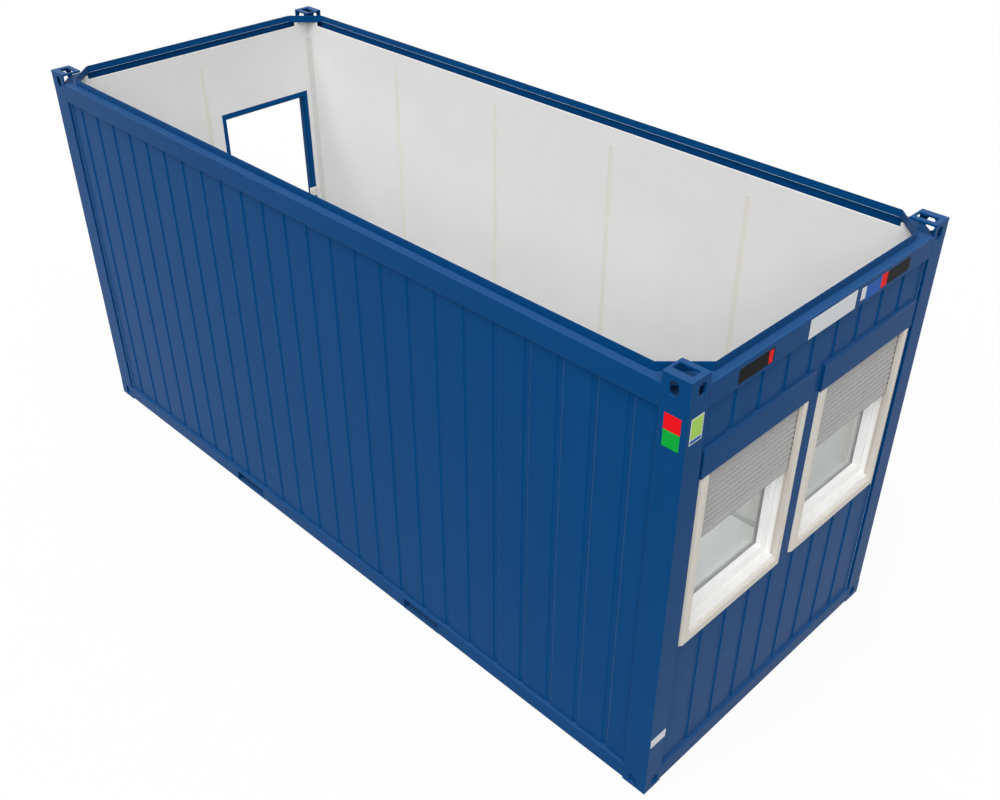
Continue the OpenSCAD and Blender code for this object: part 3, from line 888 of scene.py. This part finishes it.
class CABIN_OT_stage(bpy.types.Operator):
    """Sets up the camera, the pale floor and the soft light"""

    bl_idname = "cabin.stage"
    bl_label = "Stage"

    def execute(self, context):
        stage = context.scene.cabin_stage
        self.camera(context, stage)
        self.world(context, stage)
        self.floor(context, stage)
        self.lamps(context, stage)
        context.scene.view_settings.view_transform = "Standard"
        return {"FINISHED"}

    def camera(self, context, stage):
        data = bpy.data.cameras.new("camera")
        data.sensor_width = 36.0
        data.lens = stage.lens
        data.clip_end = 200.0
        camera = in_scene("camera", data)
        camera.location = stage.camera_place
        camera.rotation_euler = stage.camera_turn
        context.scene.camera = camera

    def seen_rays(self, tree, mirrored=1.0):
        """1 for camera rays, the mirrored share for glossy and transmission rays, else 0."""
        rays = node(tree, "ShaderNodeLightPath").outputs
        other = maths(tree, "MAXIMUM", rays["Is Glossy Ray"], rays["Is Transmission Ray"])
        return maths(tree, "MAXIMUM", rays["Is Camera Ray"], maths(tree, "MULTIPLY", other, mirrored))

    def world(self, context, stage):
        world = bpy.data.worlds.new("studio")
        world.use_nodes = True
        tree = world.node_tree
        tree.nodes.clear()
        even, white = (
            node(tree, "ShaderNodeBackground", {"Color": WHITE, "Strength": strength})
            for strength in (stage.sky, 1.0)
        )
        mixed = node(tree, "ShaderNodeMixShader", {
            0: self.seen_rays(tree), 1: even.outputs[0], 2: white.outputs[0],
        })
        node(tree, "ShaderNodeOutputWorld", {"Surface": mixed.outputs[0]})
        context.scene.world = world

    def floor(self, context, stage):
        half = stage.floor_size / 2
        bm = bmesh.new()
        bmesh.ops.create_grid(bm, x_segments=8, y_segments=8, size=half)
        mesh = plain_mesh(bm)
        floor = in_scene("studio_floor", mesh)
        floor.location.z = cad_box[0].z
        material, tree, shader, place = start_material("studio_floor")
        paper = spread(tree, noise(tree, place, 2.0), 0.0, 1.0)
        base = (stage.floor_tone,) * 3
        tone = blended(tree, paper, shade(base, 0.99), shade(base, 1.01))
        tree.links.new(tone, shader.inputs["Base Color"])
        shader.inputs["Roughness"].default_value = 0.9
        shader.inputs["Specular IOR Level"].default_value = 0.0
        steepness = 0.87  # the share of the key light that the level floor gets
        lit = stage.floor_tone * (stage.sky + stage.key / math.pi * steepness)
        strength = (1.0 - stage.floor_shade * lit) / (1.0 - stage.floor_shade)
        glow = node(tree, "ShaderNodeEmission", {"Color": WHITE, "Strength": strength})
        across = node(tree, "ShaderNodeSeparateXYZ", {"Vector": place}).outputs["X"]
        mirrored = spread(tree, across, 1.0, stage.floor_mirrored, *MIRROR_FADE)
        share = maths(tree, "MULTIPLY", self.seen_rays(tree, mirrored), 1.0 - stage.floor_shade)
        mixed = node(tree, "ShaderNodeMixShader", {0: share, 1: shader.outputs[0], 2: glow.outputs[0]})
        output = next(n for n in tree.nodes if n.bl_idname == "ShaderNodeOutputMaterial")
        tree.links.new(mixed.outputs[0], output.inputs["Surface"])
        mesh.materials.append(material)

    def lamps(self, context, stage):
        data = bpy.data.lights.new("key_light", "SUN")
        data.energy = stage.key
        data.angle = stage.key_spread
        lamp = in_scene("key_light", data)
        lamp.location = Vector(stage.key_side) * 8.0
        lamp.rotation_euler = Vector(stage.key_side).to_track_quat("Z", "Y").to_euler()


class CABIN_OT_frame(bpy.types.Operator):
    """Rounds and paints the posts, rails, corner fittings, gussets and lift pockets"""

    bl_idname = "cabin.frame"
    bl_label = "Steel frame"

    def execute(self, context):
        s = sizes()
        ends = ("front", "back", "window_end", "door_end")
        for end in ends:
            rounded_node(end + "_top_rail", s.steel_round, "frame_blue", 4)
            rounded_node(end + "_bottom_rail", s.steel_round, "frame_blue")
        for side in ("front", "back"):
            for end in ("window", "door"):
                rounded_node(f"{side}_{end}_post", s.steel_round, "frame_blue", 4)
        for end in ("window_end", "door_end"):
            for level in ("top", "bottom"):
                rounded_node(f"{end}_{level}_fittings", s.casting_round, "frame_blue")
        rounded_node("corner_gussets", s.steel_round, "frame_blue")
        coated_node("lift_pockets", "frame_blue")
        return {"FINISHED"}


class CABIN_OT_seams(bpy.types.Operator):
    """Runs thin beads of sealant round the wall sheets and along the roof rails, pale as a painted highlight
    on those edges
    """

    bl_idname = "cabin.seams"
    bl_label = "Beads and seams"

    def execute(self, context):
        self.wall_beads()
        self.rail_beads()
        return {"FINISHED"}

    def wall_beads(self):
        """Beads along the top and the upright ends of each wall sheet's outer face."""
        paths = []
        for name, axis in WALL_SHEETS.items():
            low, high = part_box(name)
            face = max(abs(low[axis]), abs(high[axis]))
            along = 1 - axis

            def wanted(a, b):
                if min(abs(a[axis]), abs(b[axis])) < face - 0.010:
                    return False
                top = min(a.z, b.z) > high.z - TOUCH
                end = abs(a[along]) > POST[along] - TOUCH and abs(a[along] - b[along]) < TOUCH
                return top or end

            paths.append(node_edges(name, wanted))
        add_beads("wall_sheet_beads", paths, sizes().bead_size)

    def rail_beads(self):
        """Beads along the inner faces of the roof rails, between the gussets."""
        z, reach = LEDGE_Z + 0.004, CHAMFER + 0.004
        paths = []
        for side in (-1, 1):
            x, y = side * (WEB_X - 0.0002), side * (WEB_Y - 0.0002)
            paths.append(path_mesh([(-WEB_X + reach, y, z), (WEB_X - reach, y, z)]))
            paths.append(path_mesh([(x, -WEB_Y + reach, z), (x, WEB_Y - reach, z)]))
        add_beads("rail_beads", paths, sizes().rail_bead_size)


class CABIN_OT_walls(bpy.types.Operator):
    """Rounds the grooves of the pressed wall sheets and coats them"""

    bl_idname = "cabin.walls"
    bl_label = "Wall sheets"

    def execute(self, context):
        for name in WALL_SHEETS:
            rounded_node(name, sizes().sheet_round, "sheet_blue")
        return {"FINISHED"}


class CABIN_OT_lining(bpy.types.Operator):
    """Coats the lining boards and fits joint strips, corner coves and skirting"""

    bl_idname = "cabin.lining"
    bl_label = "Room lining"

    def execute(self, context):
        for name in ("front_lining", "back_lining", "window_end_lining", "door_end_lining"):
            rounded_node(name, BOARD_ROUND, "lining_white", 2)
        boards = merged_copy("room_trims", lambda low, high: low.z > WAIST_Z)
        boards = rounded_mesh(boards, BOARD_ROUND, 2)
        add_piece("closing_boards", boards, "lining_white", ["room_trims"])
        # the coves' darker grey is partly painted shade in the corners
        coves = merged_copy("room_trims", lambda low, high: low.z < WAIST_Z < high.z)
        coves = rounded_mesh(coves, 0.002, 2)
        add_piece("corner_coves", coves, "cove_grey", ["room_trims"])
        self.strips()
        self.edge_strips()
        self.skirting()
        return {"FINISHED"}

    def strips(self):
        """Joint strips with a shallow channel down their middle."""
        bm = bmesh.new()
        for low, high in solids("joint_strips"):
            size, mid = high - low, (low + high) / 2
            axis = 0 if size.x > size.y else 1
            half, across, out = size[axis] / 2, Vector((0, 0, 0)), Vector((0, 0, 0))
            across[axis], out[1 - axis] = 1, -math.copysign(1, mid[1 - axis])
            wall = across * mid[axis] - out * (ROOM_X, ROOM_Y)[1 - axis]
            outline = [
                (-half, -0.0005), (-half, 0.0010), (-half + 0.002, 0.0020), (-0.0035, 0.0029),
                (-0.0015, 0.0014), (0.0015, 0.0014), (0.0035, 0.0029), (half - 0.002, 0.0020),
                (half, 0.0010), (half, -0.0005),
            ]
            foot, top = (wall + Vector((0, 0, z)) for z in (low.z, high.z))
            run(bm, rounded_outline(outline, 0.0008, 2), foot, top, across, out)
        strips = mesh_of(bm, 50)
        add_piece("panel_joint_strips", strips, "joint_cream", ["joint_strips"])

    def edge_strips(self):
        """Narrow cream strips beside the corner coves."""
        bm = bmesh.new()
        low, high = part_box("joint_strips")
        half, back, front = 0.008, -0.0005, 0.002
        outline = [(-half, back), (-half, front), (half, front), (half, back)]
        outline = rounded_outline(outline, 0.001, 2)
        for x in (0.033 - ROOM_X, ROOM_X - 0.033):
            for side in (-1, 1):
                y = side * ROOM_Y
                run(bm, outline, (x, y, low.z), (x, y, high.z), (1, 0, 0), (0, -side, 0))
        add_piece("corner_edge_strips", mesh_of(bm, 50), "joint_cream")

    def skirting(self):
        """Skirting boards with a rounded top, mitred by running past each other in the corners."""
        ((low, high),) = solids("room_trims", lambda low, high: high.z < WAIST_Z)
        height, depth = high.z - low.z, SKIRTING_T
        outline = rounded_outline(
            [(0, 0), (depth, 0), (depth, height - 0.008), (depth * 0.45, height), (0, height)], 0.002, 3,
        )
        x, y, z = ROOM_X, ROOM_Y, FLOOR_Z
        up = (0, 0, 1)
        bm = bmesh.new()
        run(bm, outline, (-x, y, z), (x, y, z), (0, -1, 0), up)
        run(bm, outline, (-x, -y, z), (x, -y, z), (0, 1, 0), up)
        run(bm, outline, (x, -y + depth, z), (x, y - depth, z), (-1, 0, 0), up)
        run(bm, outline, (-x, -y + depth, z), (-x, DOOR_LOW.y, z), (1, 0, 0), up)
        run(bm, outline, (-x, DOOR_HIGH.y, z), (-x, y - depth, z), (1, 0, 0), up)
        add_piece("skirting_boards", mesh_of(bm, 50), "skirting", ["room_trims"])


class CABIN_OT_floor(bpy.types.Operator):
    """Lays the flooring and finishes the beams and sheet under it"""

    bl_idname = "cabin.floor"
    bl_label = "Floor"

    def execute(self, context):
        rounded_node("floor_board", 0.0015, "floor_vinyl", 2)
        rounded_node("floor_beams", 0.003, "primer_grey", 2)
        rounded_node("underfloor_sheet", 0.0006, "galvanised", 1)
        return {"FINISHED"}


class CABIN_OT_windows(bpy.types.Operator):
    """Finishes the window frames and sashes and fits glass, seals and handles"""

    bl_idname = "cabin.windows"
    bl_label = "Windows"

    def execute(self, context):
        s = sizes()
        pane_low, pane_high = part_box("window_panes")
        panes, bars, seals, handles = (bmesh.new() for _ in range(4))
        for side in ("front", "back"):
            rounded_node(side + "_window_frame", s.plastic_round, "sash_white")
            rounded_node(side + "_window_sash", s.plastic_round, "sash_white")
            centre = window_centre(side)
            width = 2 * (pane_high.y - abs(centre))
            low, high = pane_low.z, pane_high.z
            self.glazing(panes, bars, centre, width, pane_low, pane_high)
            self.seals(seals, centre, width - 0.020, low + 0.010, high - 0.010, pane_low.x, pane_high.x)
            self.handle(handles, side, centre)
        panes = mesh_of(panes)
        add_piece("window_glazing", panes, "window_glass", ["window_panes"])
        add_piece("glazing_spacers", mesh_of(bars), "galvanised")
        add_piece("glazing_seals", mesh_of(seals, 60), "seal")
        add_piece("window_handles", mesh_of(handles, 60), "sash_white")
        return {"FINISHED"}

    def glazing(self, bm, bars, centre, width, low, high):
        """Two sheets of glass with a spacer bar round the gap between them."""
        sheet = 0.004
        outline = rounded_box((-width / 2, low.z), (width / 2, high.z), 0.002, 2)
        for x0 in (low.x + 0.0005, high.x - sheet - 0.0005):
            run(bm, outline, (x0, centre, 0), (x0 + sheet, centre, 0), (0, 1, 0), (0, 0, 1))
        gap_low, gap_high = low.x + sheet + 0.0006, high.x - sheet - 0.0006
        profile = rounded_box((gap_low, 0.002), (gap_high, 0.012), 0.001, 2)
        ring(bars, profile, centre, width, low.z, high.z)

    def seals(self, bm, centre, width, low, high, back, front):
        """Glazing seals round a pane, outside and inside."""
        for x0, x1 in ((front, front + 0.0022), (back - 0.0022, back)):
            profile = rounded_outline([(x0, -0.003), (x1, -0.003), (x1, 0.0015), (x0, 0.003)], 0.0007, 3)
            ring(bm, profile, centre, width, low, high, 0.0001)

    def handle(self, bm, side, centre):
        """A plain lever on the room side of the sash."""
        (low, high), _ = WINDOWS[side]
        inner = centre - math.copysign((high.y - low.y) / 2 - 0.034, centre)
        z = (low.z + high.z) / 2
        face = low.x
        plate = rounded_box((-0.014, -0.033), (0.014, 0.033), 0.012, 5)
        run(bm, plate, (face, inner, z), (face - 0.009, inner, z), (0, 1, 0), (0, 0, 1))
        turns = [math.tau * i / 16 for i in range(16)]
        neck = [(0.008 * math.cos(turn), 0.008 * math.sin(turn)) for turn in turns]
        run(bm, neck, (face - 0.009, inner, z), (face - 0.034, inner, z), (0, 1, 0), (0, 0, 1))
        lever = rounded_box((-0.006, -0.010), (0.006, 0.010), 0.005)
        loops = []
        for drop, narrow, lean in (
            (0.014, 0.72, 0.0), (0.006, 1.0, 0.0), (-0.030, 0.95, 0.004),
            (-0.085, 0.85, 0.010), (-0.118, 0.72, 0.012), (-0.124, 0.45, 0.012),
        ):
            loops.append([
                Vector((face - 0.036 - lean + p[0] * narrow, inner + p[1] * narrow, z + drop)) for p in lever
            ])
        loft(bm, loops)


class CABIN_OT_shutters(bpy.types.Operator):
    """Hangs the roller shutter curtains and finishes their boxes and guides"""

    bl_idname = "cabin.shutters"
    bl_label = "Roller shutters"

    def execute(self, context):
        s = sizes()
        for side in ("front", "back"):
            rounded_node(side + "_shutter_frame", s.plastic_round, "strip_cream")
        rounded_node("shutter_boxes", s.plastic_round, "frame_blue")
        boxes = solids("shutters")
        slat, strip = self.slat(boxes[0]), self.pierced_strip()
        tree = curtain_tree()
        curtains, bars, feet, slot_light_backs, brushes = (bmesh.new() for _ in range(5))
        for low, high in boxes:
            bar_top = low.z + 0.046
            rows = math.ceil((high.z - bar_top) / s.row_pitch)
            values = {
                "Slat": slat, "Pierced strip": strip, "Rows": rows, "Row pitch": s.row_pitch,
                "Holes": 31, "Hole pitch": s.hole_pitch, "Finish": MATERIALS["shutter_grey"],
            }
            mesh = run_tree(tree, bpy.data.meshes.new("empty"), values)
            face, centre = high.x - 0.001, (low.y + high.y) / 2
            mesh.transform(Matrix.Translation((face, centre, bar_top + rows * s.row_pitch)))
            curtains.from_mesh(mesh)
            self.end_bar(bars, feet, low, high, bar_top)
            # pale strips behind each row of slots: painted light showing through them
            for row in range(rows):
                top = bar_top + (rows - row) * s.row_pitch
                slab(slot_light_backs, (face - 0.0064, low.y + 0.010, top - s.strip_height),
                     (face - 0.0052, high.y - 0.010, min(top, high.z)))
            self.brushes(brushes, low, high)
        curtains = mesh_of(curtains, 30)
        add_piece("shutter_curtains", curtains, "shutter_grey", ["shutters"])
        add_piece("shutter_end_bars", mesh_of(bars, 40), "shutter_grey")
        add_piece("shutter_foot_seals", mesh_of(feet, 40), "rubber")
        # the slot backs are painted light, pale where light shows through
        add_piece("shutter_slot_backs", mesh_of(slot_light_backs, 40), "slot_pale")
        add_piece("guide_brushes", mesh_of(brushes, 40), "strip_cream")
        for shape in (slat, strip):
            bpy.data.objects.remove(shape)
        self.box_screws()
        return {"FINISHED"}

    def slat(self, box):
        """One curved slat below its hook strip, from the origin downwards."""
        s = sizes()
        low, high = box
        half = (high.y - low.y) / 2
        top, bottom, steps = -s.strip_height, -s.row_pitch, 10
        front = []
        for k in range(steps + 1):
            t = k / steps
            bulge = math.sin(math.pi * t) ** 0.6
            front.append((-0.0026 + 0.0026 * bulge, top + (bottom - top) * t))
        back = [
            (-0.0085, bottom + 0.001), (-0.0095, bottom + 0.006),
            (-0.0095, top - 0.006), (-0.0085, top - 0.001),
        ]
        bm = bmesh.new()
        run(bm, front + back, (0, -half, 0), (0, half, 0), (1, 0, 0), (0, 0, 1))
        return template(mesh_of(bm, 50))

    def pierced_strip(self):
        """One pitch of the hook strip with its light hole, as a closed ring."""
        s = sizes()
        half, top, bottom = s.hole_pitch / 2, 0.0015, -s.strip_height - 0.0015
        mid = -s.strip_height / 2
        steps = 5
        run_half = (s.hole_length - s.hole_height) / 2
        radius = s.hole_height / 2
        hole, rim = [], []
        for end in (1, -1):
            for k in range(steps + 1):
                angle = math.pi * (k / steps - 0.5)
                across, up = run_half + radius * math.cos(angle), radius * math.sin(angle)
                hole.append(Vector((end * across, mid + end * up)))
        reach = Vector((half, (top - bottom) / 2))
        centre = Vector((0, (top + bottom) / 2))
        for point in hole:
            offset = point - Vector((0, mid))
            scale = min(reach.x / max(abs(offset.x), 1e-6), reach.y / max(abs(offset.y), 1e-6))
            rim.append(centre + offset * scale)
        bm = bmesh.new()
        layers = []
        for x in (-0.0030, -0.0046):
            layers.append([[bm.verts.new((x, p.x, p.y)) for p in loop] for loop in (hole, rim)])
        count = len(hole)
        (hole_a, rim_a), (hole_b, rim_b) = layers
        for i in range(count):
            j = (i + 1) % count
            for first, second in ((hole_a, rim_a), (rim_b, hole_b), (hole_b, hole_a), (rim_a, rim_b)):
                bm.faces.new((first[i], first[j], second[j], second[i]))
        return template(mesh_of(bm, 40))

    def end_bar(self, bars, feet, low, high, top):
        """The grooved bar at the bottom of a curtain and the rubber foot under it."""
        face, back = high.x - 0.0002, low.x + 0.0005
        outline = rounded_outline([
            (back, top), (face - 0.0035, top), (face, top - 0.005), (face, top - 0.015),
            (face - 0.004, top - 0.0175), (face - 0.004, top - 0.0235), (face, top - 0.026),
            (face, top - 0.036), (face - 0.003, top - 0.039), (back, top - 0.039),
        ], 0.0012, 3)
        run(bars, outline, (0, low.y, 0), (0, high.y, 0), (1, 0, 0), (0, 0, 1))
        foot = rounded_box((back + 0.002, top - 0.0385), (face - 0.004, low.z + 0.0002), 0.002, 3)
        run(feet, foot, (0, low.y + 0.01, 0), (0, high.y - 0.01, 0), (1, 0, 0), (0, 0, 1))

    def brushes(self, bm, low, high):
        """Two brush strips in each guide's slot, below and beside the curtain."""
        foot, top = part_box("back_shutter_frame")[0].z + 0.068, low.z - 0.0005
        half = (high.y - low.y) / 2
        centre = (low.y + high.y) / 2
        for side in (-1, 1):
            for x in (low.x - 0.0015, low.x + 0.0065):
                outline = rounded_box((x, half + 0.0080), (x + 0.006, half - 0.0085), 0.0015, 3)
                run(bm, outline, (0, centre, foot), (0, centre, top), (1, 0, 0), (0, side, 0))

    def box_screws(self):
        """Two screws up into each box from below."""
        places = [
            ((high.x - 0.05, y, low.z), (0, 0, -1))
            for low, high in solids("shutter_boxes") for y in (low.y + 0.03, high.y - 0.03)
        ]
        add_screws("shutter_box_screws", places, sizes().box_screw)


class CABIN_OT_doorway(bpy.types.Operator):
    """Finishes the door frame, its seal, the sill and the strike box"""

    bl_idname = "cabin.doorway"
    bl_label = "Doorway"

    def execute(self, context):
        rounded_node("door_frame", 0.0025, "frame_blue")
        rounded_node("door_sill", 0.003, "galvanised")
        self.seal()
        self.strike_box()
        return {"FINISHED"}

    def seal(self):
        """A rubber seal on the stop, up both jambs and across the head."""
        low, high = DOOR_LOW, DOOR_HIGH
        stop, head = 0.047, 0.056
        x = high.x - 0.0485
        outline = [(0, 0), (-0.004, 0.001), (-0.005, 0.006), (-0.001, 0.009), (0, 0.009)]
        outline = rounded_outline(outline, 0.0012, 3)
        bm = bmesh.new()
        top, left, right = high.z - head, low.y + stop, high.y - stop
        for y, side in ((left, -1), (right, 1)):
            run(bm, outline, (x, y, low.z), (x, y, top + 0.009), (1, 0, 0), (0, side, 0))
        run(bm, outline, (x, left, top), (x, right, top), (1, 0, 0), (0, 0, 1))
        add_piece("door_seal", mesh_of(bm, 60), "rubber")

    def strike_box(self):
        """A rounded cover with a lid line and two screws."""
        low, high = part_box("strike_box")
        bm = bmesh.new()
        width, height = high.y - low.y, high.z - low.z
        mid = (low + high) / 2
        loops = []
        for x, inset in (
            (low.x, 0.001), (low.x + 0.010, 0.001), (low.x + 0.0105, 0.0022),
            (low.x + 0.0115, 0.0022), (low.x + 0.012, 0.001), (high.x - 0.004, 0.0014),
            (high.x - 0.0015, 0.0030), (high.x - 0.0003, 0.0065),
        ):
            w, h = width / 2 - inset, height / 2 - inset
            outline = rounded_box((-w, -h), (w, h), 0.008)
            loops.append([Vector((x, mid.y + p[0], mid.z + p[1])) for p in outline])
        loft(bm, loops)
        add_piece("strike_cover", mesh_of(bm, 50), "strip_cream", ["strike_box"])
        places = [((high.x - 0.0012, mid.y + d, mid.z), (1, 0, 0)) for d in (-0.024, 0.024)]
        add_screws("strike_cover_screws", places, sizes().cover_screw)


class CABIN_OT_plates(bpy.types.Operator):
    """Fixes blank plates to the window end and the near post"""

    bl_idname = "cabin.plates"
    bl_label = "Blank plates"

    def execute(self, context):
        end, side = Vector((1, 0, 0)), Vector((0, -1, 0))
        depth = sizes().plate_depth
        rows = [
            ("dark", end, -0.829, -0.530, 2.771, 2.858, depth),
            ("red", end, -0.577, -0.540, 2.776, 2.851, depth * 1.4),
            ("pale", end, -0.211, 0.242, 2.755, 2.872, depth),
            ("pale", end, 0.290, 0.340, 2.780, 2.857, depth),
            ("blue", end, 0.345, 0.500, 2.765, 2.855, depth),
            ("red", end, 0.500, 0.563, 2.776, 2.860, depth),
            ("dark", end, 0.563, 0.812, 2.776, 2.860, depth),
            ("red", side, 2.890, 2.991, 2.648, 2.742, depth),
            ("green", side, 2.890, 2.991, 2.550, 2.648, depth),
            ("pale", end, -1.187, -1.088, 2.593, 2.745, depth * 0.6),
            ("lime", end, -1.181, -1.094, 2.624, 2.739, depth),
            ("blue", end, -1.181, -1.094, 2.599, 2.618, depth),
            ("pale", end, -1.206, -1.070, 0.412, 0.478, depth),
        ]
        rivets = []
        for tone in dict.fromkeys(row[0] for row in rows):
            bm = bmesh.new()
            for found, *row in rows:
                if found == tone:
                    self.plate(bm, rivets, *row)
            bmesh.ops.recalc_face_normals(bm, faces=bm.faces)
            add_piece(tone + "_plates", rounded_mesh(bm, 0.0003, 2), "plate_" + tone)
        add_screws("plate_rivets", rivets, sizes().rivet)
        return {"FINISHED"}

    def plate(self, bm, rivets, out, start, stop, low, high, thick):
        """A thin plate lying on the window end (facing +X) or on the near side."""
        across = Vector((0, 1, 0)) if out.x else Vector((1, 0, 0))
        base = out * (RAIL_X if out.x else RAIL_Y)
        outline = rounded_box((start, low), (stop, high), 0.003)
        run(bm, outline, base - out * 0.0004, base + out * thick, across, (0, 0, 1))
        if stop - start > 0.24:
            for s in (start + 0.007, stop - 0.007):
                for z in (low + 0.007, high - 0.007):
                    rivets.append((base + across * s + Vector((0, 0, z)) + out * (thick - 0.0005), out))


class CABIN_PT_panel(bpy.types.Panel):
    """Lists the cabin's settings and building steps"""

    bl_idname = "CABIN_PT_panel"
    bl_label = "Container cabin"
    bl_space_type = "VIEW_3D"
    bl_region_type = "UI"
    bl_category = "Cabin"

    def draw(self, context):
        for group in ("cabin_colours", "cabin_sizes", "cabin_stage"):
            settings = getattr(context.scene, group)
            box = self.layout.box()
            for name in settings.bl_rna.properties.keys():
                if name not in ("rna_type", "name"):
                    box.prop(settings, name)
        for step in STEPS:
            self.layout.operator(step.bl_idname)


STEPS = [
    CABIN_OT_stage, CABIN_OT_frame, CABIN_OT_seams, CABIN_OT_walls, CABIN_OT_lining,
    CABIN_OT_floor, CABIN_OT_windows, CABIN_OT_shutters, CABIN_OT_doorway, CABIN_OT_plates,
]
GROUPS = {"cabin_colours": CabinColours, "cabin_sizes": CabinSizes, "cabin_stage": CabinStage}


def register():
    for group in GROUPS.values():
        bpy.utils.register_class(group)
    for name, group in GROUPS.items():
        setattr(bpy.types.Scene, name, bpy.props.PointerProperty(type=group))
    for step in STEPS:
        bpy.utils.register_class(step)
    bpy.utils.register_class(CABIN_PT_panel)


def unregister():
    bpy.utils.unregister_class(CABIN_PT_panel)
    for step in reversed(STEPS):
        bpy.utils.unregister_class(step)
    for name, group in GROUPS.items():
        delattr(bpy.types.Scene, name)
        bpy.utils.unregister_class(group)


def main():
    register()
    make_materials()
    for step in STEPS:
        group, name = step.bl_idname.split(".")
        getattr(getattr(bpy.ops, group), name)()


if __name__ == "__main__":
    main()
